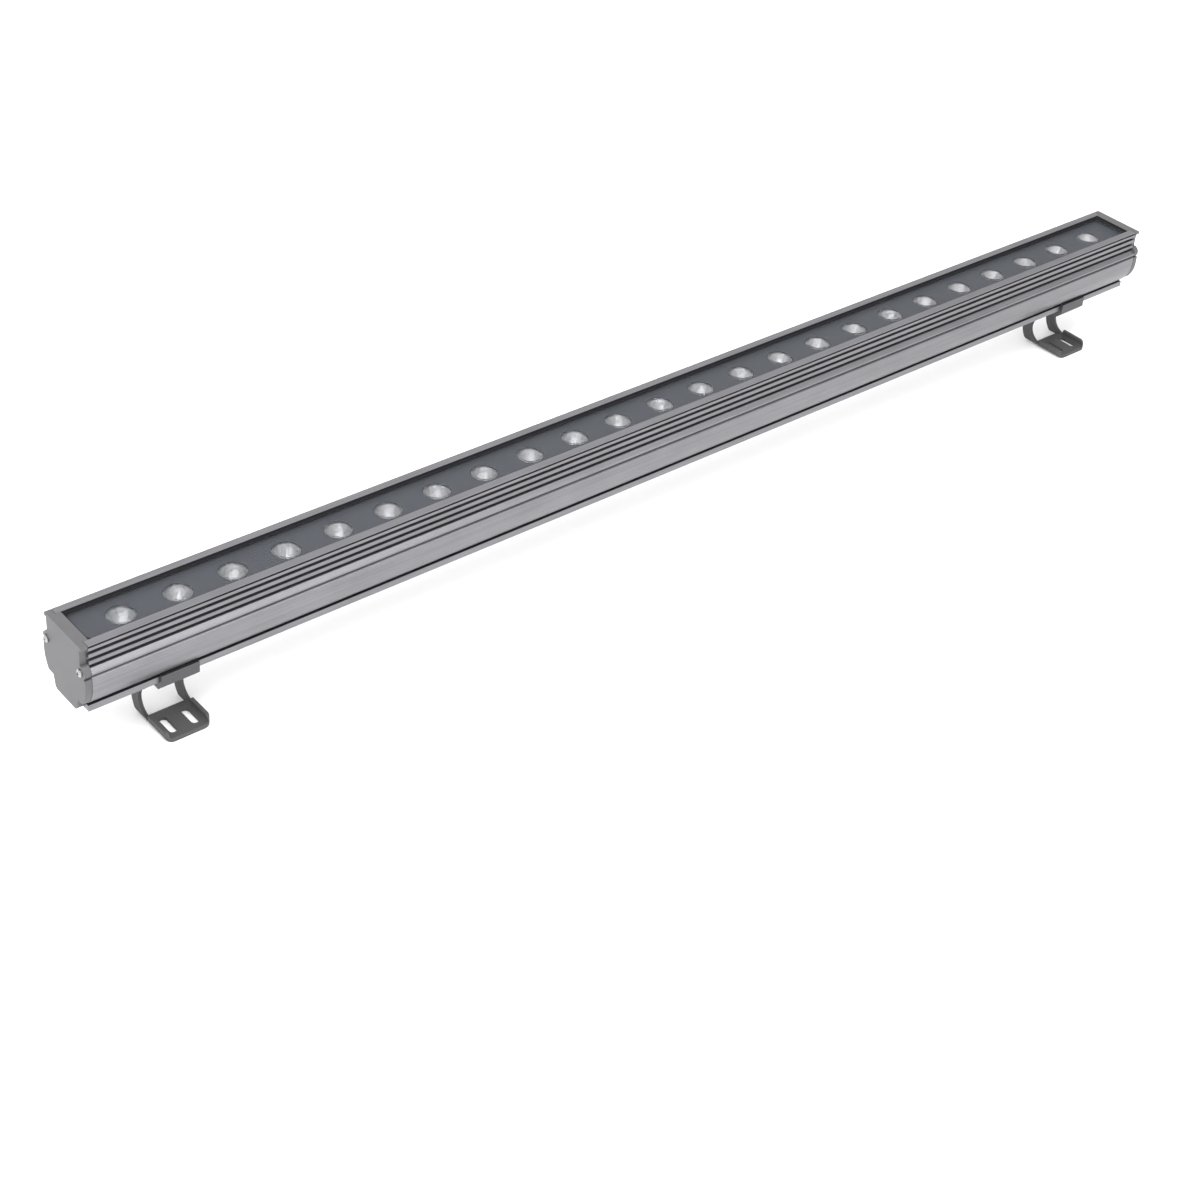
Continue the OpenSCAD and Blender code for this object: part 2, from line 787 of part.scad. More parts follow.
module gland_nut() {
    low = gland_washer_t + gland_hex_t + seat_gap;
    high = low + gland_nut_l;
    outer_d = gland_af - 1;
    color("#3a3c40") at_gland() difference() {
        union() {
            rod_x(outer_d, low, high - 2);
            translate([high - 2, 0, 0]) rotate([0, 90, 0]) cylinder(d1 = outer_d, d2 = outer_d - 3, h = 2);
        }
        rod_x(gland_d - 1 + 2 * seat_gap, low - 1, high - 2.5);
        rod_x(gland_pass_d, low, high + 1);
    }
}

module gland_locknut() {
    low = -cap_t - seat_gap - gland_locknut_t;
    color("#3a3c40") at_gland() difference() {
        translate([low, 0, 0]) rotate([30, 0, 0]) rotate([0, 90, 0])
            cylinder(d = hex_d(gland_af), h = gland_locknut_t, $fn = 6);
        rod_x(gland_d + 2 * seat_gap, low - 1, low + gland_locknut_t + 1);
    }
}

// Feet: folded sheet-steel yokes, the same for both ends

// Outline of a yoke from the side, in the plane across the light, with the tilt axis at y = 0
module yoke_side_view() {
    outer = arm_r + arm_w / 2;
    inner = arm_r - arm_w / 2;
    rear = -arm_back + sqrt(outer * outer - arm_centre_z * arm_centre_z);
    front_r = flange_h;
    // Flange along the plate, rounded at its front
    translate([-foot_front + front_r, 0]) square([foot_front - front_r + rear - 1, sheet_t]);
    translate([-foot_front + front_r, 0]) square([foot_front - front_r - arm_back, flange_h]);
    intersection() {
        translate([-foot_front + front_r, 0]) circle(r = front_r);
        translate([-foot_front, 0]) square([front_r + overlap, flange_h]);
    }
    // Curved arm from the plate up to the eye
    intersection() {
        difference() {
            translate([-arm_back, arm_centre_z]) circle(r = outer);
            translate([-arm_back, arm_centre_z]) circle(r = inner);
        }
        union() {
            translate([-arm_back, 0]) square([outer + overlap, arm_centre_z + overlap]);
            polygon([
                [-arm_back, arm_centre_z], [outer, arm_centre_z],
                [outer, pivot_h + outer], [arm_back, pivot_h + arm_drop]
            ]);
        }
    }
    translate([0, pivot_h]) circle(r = eye_r);
}

// U shape of a yoke seen along the tilting direction, with rounded folds
module yoke_front_view() {
    half = foot_w / 2;
    inner_half = half - sheet_t;
    inner_r = bend_r - sheet_t;
    tall = pivot_h + eye_r + 1;
    difference() {
        union() {
            translate([-half, bend_r]) square([foot_w, tall]);
            translate([-half + bend_r, 0]) square([foot_w - 2 * bend_r, bend_r + overlap]);
            for (side = [LEFT, RIGHT]) {
                translate([side * (half - bend_r), bend_r]) circle(r = bend_r);
            }
        }
        translate([-inner_half, sheet_t + inner_r]) square([2 * inner_half, tall + bend_r]);
        translate([-inner_half + inner_r, sheet_t]) square([2 * (inner_half - inner_r), inner_r + overlap]);
        for (side = [LEFT, RIGHT]) {
            translate([side * (inner_half - inner_r), sheet_t + inner_r]) circle(r = inner_r);
        }
    }
}

// Outline of a foot seen from above, with its two front corners rounded
module yoke_plan_view() {
    half = foot_w / 2;
    translate([-half, -foot_front + foot_corner_r]) square([foot_w, foot_front + 2 * arm_r]);
    translate([-half + foot_corner_r, -foot_front]) square([foot_w - 2 * foot_corner_r, 2 * foot_corner_r]);
    for (side = [LEFT, RIGHT]) {
        translate([side * (half - foot_corner_r), -foot_front + foot_corner_r]) circle(r = foot_corner_r);
    }
}

module fixing_slot() {
    reach = (slot_l - slot_w) / 2;
    for (y = [-reach, reach]) {
        translate([0, y, -1]) cylinder(d = slot_w, h = sheet_t + 2);
    }
    translate([-slot_w / 2, -reach, -1]) cube([slot_w, 2 * reach, sheet_t + 2]);
}

module yoke(side) {
    half = foot_w / 2;
    color("#4b4c4f") at_foot(side) difference() {
        intersection() {
            translate([-half, 0, 0]) rotate([90, 0, 90]) linear_extrude(foot_w) yoke_side_view();
            translate([0, 2 * foot_front, 0]) rotate([90, 0, 0]) linear_extrude(4 * foot_front) yoke_front_view();
            translate([0, 0, -1]) linear_extrude(pivot_h + eye_r + 2) yoke_plan_view();
        }
        translate([-half + sheet_t, -foot_rear, -1]) cube([foot_w - 2 * sheet_t, 3 * arm_r, sheet_t + bend_r + 1]);
        for (x = [-slot_pitch / 2, slot_pitch / 2]) {
            translate([x, -slot_setback, 0]) fixing_slot();
        }
        translate([0, 0, pivot_h]) rod_x(pivot_d + 2 * turn_gap, -half - 1, half + 1);
    }
}

// Clamps that grip the rail

// Hook over the front rail flange and the plate under the rail, as across and up from the rim
module hook_half(inner_end) {
    outer = rail_w / 2 + hook_t;
    lip = outer - hook_t - hook_reach;
    top = -belly_z - slide_gap;
    flange_top = -body_h + rail_t + slide_gap;
    under = -body_h - slide_gap;
    low = -body_h - clamp_t;
    slope = clamp_t - 2;
    polygon([
        [-outer, top], [-outer, low + slope], [-outer + slope, low], [inner_end, low], [inner_end, under],
        [-rail_w / 2 - slide_gap, under], [-rail_w / 2 - slide_gap, flange_top], [-lip, flange_top], [-lip, top]
    ]);
}

module at_clamp(side) {
    translate([foot_x(side) - clamp_w / 2, axis_y, top_z]) rotate([90, 0, 90]) linear_extrude(clamp_w) children();
}

module clamp_screw_holes(side, d, low, high) {
    for (x = [-clamp_screw_pitch / 2, clamp_screw_pitch / 2]) {
        translate([foot_x(side) + x, axis_y, top_z - body_h - clamp_t / 2 - slide_gap / 2]) rod_y(d, low, high);
    }
}

clamp_screw_bite = 8;
clamp_head_seat = rail_w / 2 + hook_t - clamp_head_h;

module clamp_block(side) {
    lug_z = body_h + pivot_drop;
    color("#808287") difference() {
        at_clamp(side) {
            hook_half(jaw_y);
            translate([-lug_r, -lug_z]) square([2 * lug_r, pivot_drop - clamp_t + overlap]);
            translate([0, -lug_z]) circle(r = lug_r);
        }
        clamp_screw_holes(side, clamp_screw_d + seat_gap, jaw_y - clamp_screw_bite, jaw_y + 1);
        at_foot(side) translate([0, 0, pivot_h]) rod_x(pivot_d + 2 * turn_gap, -clamp_w, clamp_w);
    }
}

module clamp_jaw(side) {
    color("#808287") difference() {
        at_clamp(side) mirror([1, 0]) hook_half(-jaw_y - jaw_gap);
        clamp_screw_holes(side, clamp_screw_d + screw_play, jaw_y, rail_w);
        clamp_screw_holes(side, clamp_head_d + screw_play, clamp_head_seat, rail_w);
    }
}

module clamp_screws(side) {
    color("#b9bcc2") difference() {
        union() {
            clamp_screw_holes(side, clamp_screw_d, jaw_y - clamp_screw_bite + 0.5, clamp_head_seat + eps);
            clamp_screw_holes(side, clamp_head_d, clamp_head_seat, clamp_head_seat + clamp_head_h);
        }
        for (x = [-clamp_screw_pitch / 2, clamp_screw_pitch / 2]) {
            translate([
                foot_x(side) + x, axis_y + clamp_head_seat + clamp_head_h / 2,
                top_z - body_h - clamp_t / 2 - slide_gap / 2
            ]) rotate([-90, 0, 0]) cylinder(d = hex_d(3), h = clamp_head_h, $fn = 6);
        }
    }
}

// Pivot of a foot: bolt, washers and locking nut

pivot_face = foot_w / 2 + side_gap + washer_t;

module at_pivot(side) {
    at_foot(side) translate([0, 0, pivot_h]) children();
}

module pivot_bolt(side) {
    color("#b9bcc2") at_pivot(side) {
        rod_x(pivot_d, -pivot_face - eps, pivot_face + pivot_nut_h + 1.5);
        translate([-pivot_face - pivot_head_h, 0, 0]) rotate([0, 90, 0])
            cylinder(d = hex_d(pivot_af), h = pivot_head_h, $fn = 6);
    }
}

module pivot_washers(side) {
    color("#c9ccd1") at_pivot(side) for (low = [-pivot_face, foot_w / 2 + side_gap]) {
        difference() {
            rod_x(washer_d, low, low + washer_t);
            rod_x(pivot_d + 2 * seat_gap, low - 1, low + washer_t + 1);
        }
    }
}

module pivot_nut(side) {
    collar_h = 1.2;
    color("#b9bcc2") at_pivot(side) translate([pivot_face, 0, 0]) difference() {
        union() {
            rotate([0, 90, 0]) cylinder(d = hex_d(pivot_af), h = pivot_nut_h - collar_h, $fn = 6);
            rod_x(pivot_af - 0.6, pivot_nut_h - collar_h - eps, pivot_nut_h);
        }
        rod_x(pivot_d + seat_gap, -1, pivot_nut_h + 1);
    }
}

housing();
end_cap_left();
end_cap_right();
cap_gasket(LEFT);  // cap_gasket_left
cap_gasket(RIGHT);  // cap_gasket_right
cap_screws(LEFT);  // cap_screws_left
cap_screws(RIGHT);  // cap_screws_right
front_glass();
glass_seals();
lens_bezel();
lens_row(LEFT);  // lenses_left
lens_row(RIGHT);  // lenses_right
chip_row(LEFT);  // leds_left
chip_row(RIGHT);  // leds_right
led_board(LEFT);  // led_board_left
led_board(RIGHT);  // led_board_right
board_screws(LEFT);  // board_screws_left
board_screws(RIGHT);  // board_screws_right
board_link();
driver_tray();
driver_board();
driver_transformer();
driver_capacitors();
driver_leads();
gland_body();
gland_washer();
gland_seal();
gland_nut();
gland_locknut();
clamp_block(LEFT);  // clamp_block_left
clamp_jaw(LEFT);  // clamp_jaw_left
clamp_screws(LEFT);  // clamp_screws_left
yoke(LEFT);  // yoke_left
pivot_bolt(LEFT);  // pivot_bolt_left
pivot_washers(LEFT);  // pivot_washers_left
pivot_nut(LEFT);  // pivot_nut_left
clamp_block(RIGHT);  // clamp_block_right
clamp_jaw(RIGHT);  // clamp_jaw_right
clamp_screws(RIGHT);  // clamp_screws_right
yoke(RIGHT);  // yoke_right
pivot_bolt(RIGHT);  // pivot_bolt_right
pivot_washers(RIGHT);  // pivot_washers_right
pivot_nut(RIGHT);  // pivot_nut_right
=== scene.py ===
import math

import bmesh
import bpy
from mathutils import Euler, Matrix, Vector


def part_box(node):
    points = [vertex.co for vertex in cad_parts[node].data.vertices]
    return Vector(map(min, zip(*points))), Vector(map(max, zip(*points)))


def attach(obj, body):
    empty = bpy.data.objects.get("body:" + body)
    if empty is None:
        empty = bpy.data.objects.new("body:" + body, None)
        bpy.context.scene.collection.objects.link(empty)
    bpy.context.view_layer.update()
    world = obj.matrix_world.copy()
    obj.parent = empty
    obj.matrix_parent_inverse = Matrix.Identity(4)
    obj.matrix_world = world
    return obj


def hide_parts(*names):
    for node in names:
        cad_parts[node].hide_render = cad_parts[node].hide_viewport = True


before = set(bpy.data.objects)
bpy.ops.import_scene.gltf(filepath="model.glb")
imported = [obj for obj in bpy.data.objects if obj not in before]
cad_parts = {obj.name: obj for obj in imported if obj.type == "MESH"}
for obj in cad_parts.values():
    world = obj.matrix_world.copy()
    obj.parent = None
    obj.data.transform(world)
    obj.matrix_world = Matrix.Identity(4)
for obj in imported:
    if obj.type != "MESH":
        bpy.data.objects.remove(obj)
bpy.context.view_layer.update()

# Camera.
# It stands left of the light and in front of it, and looks down along the whole row of lenses.
# The place and lens are those that put the ends of the light where the photograph has them.
CAMERA_PLACE = (-1.0000, -0.9920, 0.9557)
CAMERA_TURN = (58.059, -4.091, -39.858)
camera_data = bpy.data.cameras.new("camera")
camera_data.lens = 68.56
camera_data.sensor_width = 36
camera_data.shift_y = -0.1618
camera = bpy.data.objects.new("camera", camera_data)
camera.location = CAMERA_PLACE
camera.rotation_euler = Euler([math.radians(angle) for angle in CAMERA_TURN])
bpy.context.scene.collection.objects.link(camera)
bpy.context.scene.camera = camera

# Studio light.
# A white sky that is a little darker on the right, and three large soft lights,
# one high on the left, one in front and a weak one above, which lightens the shoulder.
SKY_LEFT, SKY_RIGHT = 1.45, 0.85
SKY_FALL_START, SKY_FALL_END = 0.5, 0.9
bpy.context.scene.view_settings.view_transform = "Standard"
world = bpy.data.worlds.new("studio")
bpy.context.scene.world = world
world.use_nodes = True
sky_tree = world.node_tree
sky_place = sky_tree.nodes.new("ShaderNodeTexCoord")
sky_parts = sky_tree.nodes.new("ShaderNodeSeparateXYZ")
sky_fall = sky_tree.nodes.new("ShaderNodeMapRange")
sky_fall.inputs["From Min"].default_value = SKY_FALL_START
sky_fall.inputs["From Max"].default_value = SKY_FALL_END
sky_fall.inputs["To Min"].default_value = SKY_LEFT
sky_fall.inputs["To Max"].default_value = SKY_RIGHT
sky_tree.links.new(sky_place.outputs["Generated"], sky_parts.inputs["Vector"])
sky_tree.links.new(sky_parts.outputs["X"], sky_fall.inputs["Value"])
sky = sky_tree.nodes["Background"]
sky.inputs["Color"].default_value = (1.0, 1.0, 1.0, 1)
sky_tree.links.new(sky_fall.outputs["Result"], sky.inputs["Strength"])


def area_light(name, place, aim, size, power):
    """A rectangular soft light that shines from its place towards its aim."""
    data = bpy.data.lights.new(name, "AREA")
    data.shape = "RECTANGLE"
    data.size, data.size_y = size
    data.energy = power
    light = bpy.data.objects.new(name, data)
    light.location = place
    light.rotation_euler = (Vector(aim) - Vector(place)).to_track_quat("-Z", "Y").to_euler()
    bpy.context.scene.collection.objects.link(light)


area_light("key", place=(-1.3, -0.6, 2.2), aim=(-0.5, 0, 0), size=(2.0, 1.6), power=54)
area_light("front", place=(-0.5, -2.6, 1.2), aim=(-0.3, 0, 0.05), size=(2.6, 1.0), power=16)
area_light("above", place=(0.6, -0.55, 2.3), aim=(0, 0, 0), size=(1.0, 0.6), power=12)


# Studio floor.
# Matt white card, far larger than the light. The two classes write a material's nodes
# as Python expressions, and every finish in this file is made with them.
class Socket:
    """One output of a shader node, with the usual operators for shader maths."""

    def __init__(self, finish, link):
        self.finish, self.link = finish, link

    def maths(self, operation, other):
        return self.finish.node("ShaderNodeMath", {"operation": operation}, self, other)

    def __add__(self, other):
        return self.maths("ADD", other)

    __radd__ = __add__

    def __sub__(self, other):
        return self.maths("SUBTRACT", other)

    def __rsub__(self, other):
        return self.finish.node("ShaderNodeMath", {"operation": "SUBTRACT"}, other, self)

    def __mul__(self, other):
        return self.maths("MULTIPLY", other)

    __rmul__ = __mul__

    def __pow__(self, other):
        return self.maths("POWER", other)


class Finish:
    """A material whose surface shader is built in Python expressions."""

    def __init__(self, name, **constants):
        self.material = bpy.data.materials.new(name)
        self.material.use_nodes = True
        self.tree = self.material.node_tree
        self.shader = self.tree.nodes["Principled BSDF"]
        for socket, value in constants.items():
            self.set(socket.replace("_", " "), value)

    def set(self, socket, value):
        """Links a value to a socket of the surface shader, or sets a constant there."""
        self.feed(self.shader.inputs[socket], value)

    def feed(self, target, value):
        if isinstance(value, Socket):
            self.tree.links.new(value.link, target)
        elif isinstance(value, tuple) and target.type == "RGBA":
            target.default_value = (*value, 1.0)
        else:
            target.default_value = value

    def node(self, kind, settings, *values, output=0, numbered=None, **named):
        """Adds a node: its settings first, then its sockets by order, number or name."""
        made = self.tree.nodes.new(kind)
        for setting, value in settings.items():
            setattr(made, setting, value)
        for number, value in [*enumerate(values), *(numbered or {}).items()]:
            self.feed(made.inputs[number], value)
        for name, value in named.items():
            self.feed(made.inputs[name], value)
        return Socket(self, made.outputs[output])

    def place(self, x=1.0, y=1.0, z=1.0):
        """Object coordinates in metres, stretched along each axis."""
        coordinates = self.node("ShaderNodeTexCoord", {}, output="Object")
        return self.node("ShaderNodeMapping", {}, Vector=coordinates, Scale=(x, y, z))

    def axis(self, letter):
        """Distance from the origin along one axis, in metres."""
        return self.node("ShaderNodeSeparateXYZ", {}, self.place(), output=letter)

    def noise(self, where, scale, detail=3.0, roughness=0.55):
        return self.node("ShaderNodeTexNoise", {}, Vector=where, Scale=scale, Detail=detail,
                         Roughness=roughness)

    def blend(self, share, first, second):
        """Mixes two colours: the first at share 0, the second at share 1."""
        colours = {0: share, 6: first, 7: second}
        return self.node("ShaderNodeMix", {"data_type": "RGBA"}, numbered=colours, output=2)

    def steps(self, value, low, high):
        """0 below low, 1 above high and a smooth rise between."""
        smooth = {"interpolation_type": "SMOOTHSTEP"}
        return self.node("ShaderNodeMapRange", smooth, value, low, high, 0.0, 1.0)

    def bump(self, height, depth, strength):
        bumps = self.node("ShaderNodeBump", {}, Height=height, Distance=depth, Strength=strength)
        self.set("Normal", bumps)


FLOOR_SIZE = 60.0
FLOOR_DROP = 0.0005
FLOOR_WHITE = (0.95, 0.95, 0.95)
floor_mesh = bmesh.new()
bmesh.ops.create_grid(floor_mesh, x_segments=1, y_segments=1, size=FLOOR_SIZE / 2)
bmesh.ops.translate(floor_mesh, verts=floor_mesh.verts, vec=(0, 0, -FLOOR_DROP))
floor_data = bpy.data.meshes.new("floor")
floor_mesh.to_mesh(floor_data)
floor_mesh.free()
floor_data.materials.append(Finish("studio_floor", Base_Color=FLOOR_WHITE, Roughness=0.9).material)
floor = bpy.data.objects.new("floor", floor_data)
bpy.context.scene.collection.objects.link(floor)


# Profile.
# One aluminium extrusion, sawn to length, with fins along its sides and a rail under it.
# It is fine-blasted and anodised silver grey, so it is satin with faint lines along its length.
def dress(finish, *nodes):
    """Gives CAD nodes their finish."""
    for name in nodes:
        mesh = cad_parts[name].data
        mesh.materials.clear()
        mesh.materials.append(finish.material)


ANODISED_DARK, ANODISED_LIGHT = (0.142, 0.141, 0.149), (0.220, 0.218, 0.232)
GROOVE_SHADE_GREY = (0.05, 0.05, 0.056)
GROOVE_SHADE_REACH = 0.004
anodised = Finish("anodised_profile", Metallic=0.85)
streaks = anodised.noise(anodised.place(x=6, y=900, z=900), 1.0, detail=4.0)
grain = anodised.noise(anodised.place(), 2600.0, detail=2.0)
stains = anodised.noise(anodised.place(x=1.0, y=1.6, z=1.6), 26.0, detail=4.0, roughness=0.6)
tone = streaks * 0.45 + grain * 0.25 + stains * 0.3
# Painted shade: the grooves and other hollows are painted a darker grey, the more closed in, the darker.
painted_shade_openness = anodised.node("ShaderNodeAmbientOcclusion", {"samples": 6, "only_local": True},
                         Distance=GROOVE_SHADE_REACH, output="AO")
silver = anodised.blend(anodised.steps(tone, 0.25, 0.75), ANODISED_DARK, ANODISED_LIGHT)
anodised.set("Base Color", anodised.blend(anodised.steps(painted_shade_openness, 0.1, 0.7), GROOVE_SHADE_GREY, silver))
anodised.set("Roughness", 0.34 + 0.16 * tone)
anodised.bump(streaks * 0.6 + grain * 0.4, depth=0.00006, strength=0.5)
dress(anodised, "housing")

# End caps.
# Each is cast aluminium, painted satin grey, and is screwed to the end of the profile
# over a dark grey rubber gasket. The other rubber pieces of the light are black.
CAP_DARK, CAP_LIGHT = (0.082, 0.080, 0.083), (0.115, 0.112, 0.116)
cap_paint = Finish("cap_paint", Metallic=0.35)
cap_grain = cap_paint.noise(cap_paint.place(), 1800.0)
cap_cloud = cap_paint.noise(cap_paint.place(), 60.0)
cap_tone = cap_cloud * 0.7 + cap_grain * 0.3
cap_paint.set("Base Color", cap_paint.blend(cap_tone, CAP_DARK, CAP_LIGHT))
cap_paint.set("Roughness", 0.45 + 0.15 * cap_grain)
cap_paint.bump(cap_grain, depth=0.00005, strength=0.5)
dress(cap_paint, "end_cap_left", "end_cap_right")

GASKET_DARK, GASKET_LIGHT = (0.060, 0.059, 0.062), (0.085, 0.083, 0.086)
grey_rubber = Finish("grey_rubber", Roughness=0.6)
gasket_grain = grey_rubber.noise(grey_rubber.place(), 1500.0, detail=2.0)
grey_rubber.set("Base Color", grey_rubber.blend(gasket_grain, GASKET_DARK, GASKET_LIGHT))
dress(grey_rubber, "cap_gasket_left", "cap_gasket_right")

RUBBER_DARK, RUBBER_LIGHT = (0.005, 0.005, 0.006), (0.012, 0.012, 0.013)
black_rubber = Finish("black_rubber", Roughness=0.75, Specular_IOR_Level=0.12)
rubber_grain = black_rubber.noise(black_rubber.place(), 1500.0, detail=2.0)
black_rubber.set("Base Color", black_rubber.blend(rubber_grain, RUBBER_DARK, RUBBER_LIGHT))
dress(black_rubber, "glass_seals", "gland_washer", "gland_seal")

# Cap screws and board screws.
# Stainless steel with a cross recess. Two hold each cap to the ports of the profile,
# and three hold each circuit board to its shelf.
STEEL_DARK, STEEL_LIGHT = (0.27, 0.272, 0.28), (0.38, 0.382, 0.39)
stainless = Finish("stainless", Metallic=1.0)
turning = stainless.noise(stainless.place(), 900.0, detail=2.0)
stainless.set("Base Color", stainless.blend(turning, STEEL_DARK, STEEL_LIGHT))
stainless.set("Roughness", 0.18 + 0.12 * turning)
dress(stainless, "cap_screws_left", "cap_screws_right", "board_screws_left", "board_screws_right")

# Front window and the plate behind it.
# The window is clear toughened glass that slides into the profile. Under it lies a thin,
# matt blue-grey steel plate with a round hole for each lens.
window = Finish("clear_glass", Base_Color=(0.24, 0.26, 0.29), Alpha=0.05)
smears = window.noise(window.place(x=3, y=20), 8.0, detail=2.0)
window.set("Roughness", 0.03 + 0.05 * smears)
dress(window, "front_glass")

PLATE_DARK, PLATE_LIGHT = (0.024, 0.026, 0.032), (0.036, 0.038, 0.044)
plate = Finish("plate_paint", Specular_IOR_Level=0.2)
plate_grain = plate.noise(plate.place(), 1400.0, detail=2.0)
plate_cloud = plate.noise(plate.place(), 30.0)
plate_tone = plate_grain * 0.5 + plate_cloud * 0.5
plate.set("Base Color", plate.blend(plate_tone, PLATE_DARK, PLATE_LIGHT))
plate.set("Roughness", 0.5 + 0.15 * plate_grain)
dress(plate, "lens_bezel")

# Sealant round the window, and painted shade in the gap.
# A bead of black silicone, pressed into the angle between glass and rim and smoothed off,
# with a round corner at each end of the window. It is black and high enough to cover the rim's
# inner wall, so it also stands in as painted shade for the dark gap between rim and glass.
SEALANT_W = 0.0013
SEALANT_H = 0.0015
SEALANT_CORNER_R = 0.0048
RIM_CORNER_R = 0.0002
CORNER_STEPS = 8
GLASS_GRIP = 0.0017
SLIT = 0.00005
CORNERS = ((1, 1), (-1, 1), (-1, -1), (1, -1))
glass_low, glass_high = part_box("front_glass")
window_half_l = -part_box("end_cap_left")[1].x
window_half_w = (glass_high.y - glass_low.y) / 2 - GLASS_GRIP
window_y = (glass_high.y + glass_low.y) / 2


def rounded_loop(inset, height, radius):
    """Points of a rectangle with round corners, set in from the opening of the window."""
    points = []
    for number, (x, y) in enumerate(CORNERS):
        centre = Vector((x * (window_half_l - inset - radius),
                         window_y + y * (window_half_w - inset - radius), height))
        for step in range(CORNER_STEPS + 1):
            turn = math.pi / 2 * (number + step / CORNER_STEPS)
            points.append(centre + radius * Vector((math.cos(turn), math.sin(turn), 0)))
    return points


def ring_of_loops(loops):
    """Joins each closed loop of points to the next, and the last to the first."""
    ring = bmesh.new()
    rims = []
    for points in loops:
        verts = [ring.verts.new(point) for point in points]
        rims.append([ring.edges.new(pair) for pair in zip(verts, verts[1:] + verts[:1])])
    for first, second in zip(rims, rims[1:] + rims[:1]):
        bmesh.ops.bridge_loops(ring, edges=first + second)
    bmesh.ops.recalc_face_normals(ring, faces=ring.faces)
    return ring


def add_piece(name, shape, finish, body):
    """Makes an object of a finished bmesh and lets it ride on a body."""
    mesh = bpy.data.meshes.new(name)
    shape.to_mesh(mesh)
    shape.free()
    mesh.materials.append(finish.material)
    piece = bpy.data.objects.new(name, mesh)
    bpy.context.scene.collection.objects.link(piece)
    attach(piece, body)
    return piece


# The black bead is both sealant and painted shade along the gap between rim and glass.
sealant_shade_bead = ring_of_loops([
    rounded_loop(0, glass_high.z + SLIT, RIM_CORNER_R),
    rounded_loop(0, glass_high.z + SEALANT_H, RIM_CORNER_R),
    rounded_loop(SEALANT_W * 0.4, glass_high.z + SEALANT_H * 0.35, SEALANT_CORNER_R),
    rounded_loop(SEALANT_W, glass_high.z + SLIT, SEALANT_CORNER_R),
])
add_piece("window_sealant_shade", sealant_shade_bead, black_rubber, "light")

# Painted shade on the walls under the window.
# A thin sheet in the plate's dark paint stands all round, close to the walls of the profile and the caps,
# and ends just under the glass: a dark sheet that stands in for the shade on those walls.
SHADE_SHEET_T = 0.0004
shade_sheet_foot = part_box("lens_bezel")[1].z + SLIT
shade_sheet_top = glass_low.z - SLIT


def square_loop(inset, height):
    """Corners of a rectangle, set in from the walls under the window."""
    return [(x * (window_half_l - SLIT - inset), window_y + y * (window_half_w - SLIT - inset), height)
            for x, y in CORNERS]


# A dark sheet in the plate's paint, as painted shade on the walls under the glass.
shade_sheet = ring_of_loops([
    square_loop(0, shade_sheet_foot),
    square_loop(0, shade_sheet_top),
    square_loop(SHADE_SHEET_T, shade_sheet_top),
    square_loop(SHADE_SHEET_T, shade_sheet_foot),
])
add_piece("wall_shade_sheet", shade_sheet, plate, "light")

# Lenses.
# Each is one clear moulded optic over its chip. Its cone throws the light forward, and seen from
# the front it shines like a silver cup; its flat front has a thin edge that the plate holds.
LENS_COUNT = 12
LENS_STEPS = 48
CUP_STEPS = 9
CROWN_STEPS = 6
MERGE_REACH = 0.000002
FRONT_T = 0.0022
FRONT_CROWN = 0.0006
FRONT_EDGE_W = 0.0011
FRONT_CHAMFER = 0.0003
CUP_GAP = 0.0001
CUP_CLEARANCE = 0.0003
CUP_WALL_T = 0.0007
CUP_FOOT_R = 0.0050
CUP_CURVE = 0.8
POCKET_R, POCKET_H = 0.0028, 0.0032
POCKET_DOME = 0.0005
BOWL_FLOOR_R = 0.0024
BOWL_FLOOR_T = 0.0012
BOWL_CURVE = 0.75
lens_low, lens_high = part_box("lenses_left")
lens_r = (lens_high.y - lens_low.y) / 2
lens_pitch = (lens_high.x - lens_low.x - 2 * lens_r) / (LENS_COUNT - 1)
lens_y = (lens_high.y + lens_low.y) / 2
lens_h = lens_high.z - lens_low.z


def cup_outline():
    """Closed half outline of the cup: pocket, foot, outer cone, lip and the curved inside."""
    lip = lens_h - FRONT_T - CUP_GAP
    cone_w = lens_r - CUP_CLEARANCE - CUP_FOOT_R
    bowl_w = lens_r - CUP_WALL_T - BOWL_FLOOR_R
    bowl_low = POCKET_H + BOWL_FLOOR_T
    points = [(0, POCKET_H), (POCKET_R, POCKET_H - POCKET_DOME), (POCKET_R, 0), (CUP_FOOT_R, 0)]
    for step in range(1, CUP_STEPS + 1):
        share = step / CUP_STEPS
        points.append((CUP_FOOT_R + cone_w * share ** CUP_CURVE, lip * share))
    for step in range(CUP_STEPS + 1):
        share = 1 - step / CUP_STEPS
        points.append((BOWL_FLOOR_R + bowl_w * share ** BOWL_CURVE, bowl_low + (lip - bowl_low) * share))
    moat_depth, knob_edge, knob_top = 0.0003, 0.0005, 0.0009
    points.append((BOWL_FLOOR_R * 0.8, bowl_low - moat_depth))
    points.append((BOWL_FLOOR_R * 0.5, bowl_low + knob_edge))
    points.append((0, bowl_low + knob_top))
    return points


def front_outline():
    """Closed half outline of the clear front: flat edge with a fine ring, then a low crown."""
    low = lens_h - FRONT_T
    edge_top = lens_h - FRONT_CROWN
    ring = lens_r - FRONT_EDGE_W
    hollow, seat_w = 0.0004, 0.0010
    ring_w, ring_depth = 0.0002, 0.0004
    crown_r = ring - 0.0005
    points = [(0, low + hollow), (lens_r - seat_w, low), (lens_r, low)]
    points += [(lens_r, edge_top - FRONT_CHAMFER), (lens_r - FRONT_CHAMFER, edge_top)]
    points += [(ring, edge_top), (ring - ring_w, edge_top - ring_depth)]
    for step in range(CROWN_STEPS + 1):
        share = step / CROWN_STEPS
        points.append((crown_r * (1 - share), edge_top + FRONT_CROWN * math.sin(share * math.pi / 2)))
    return points


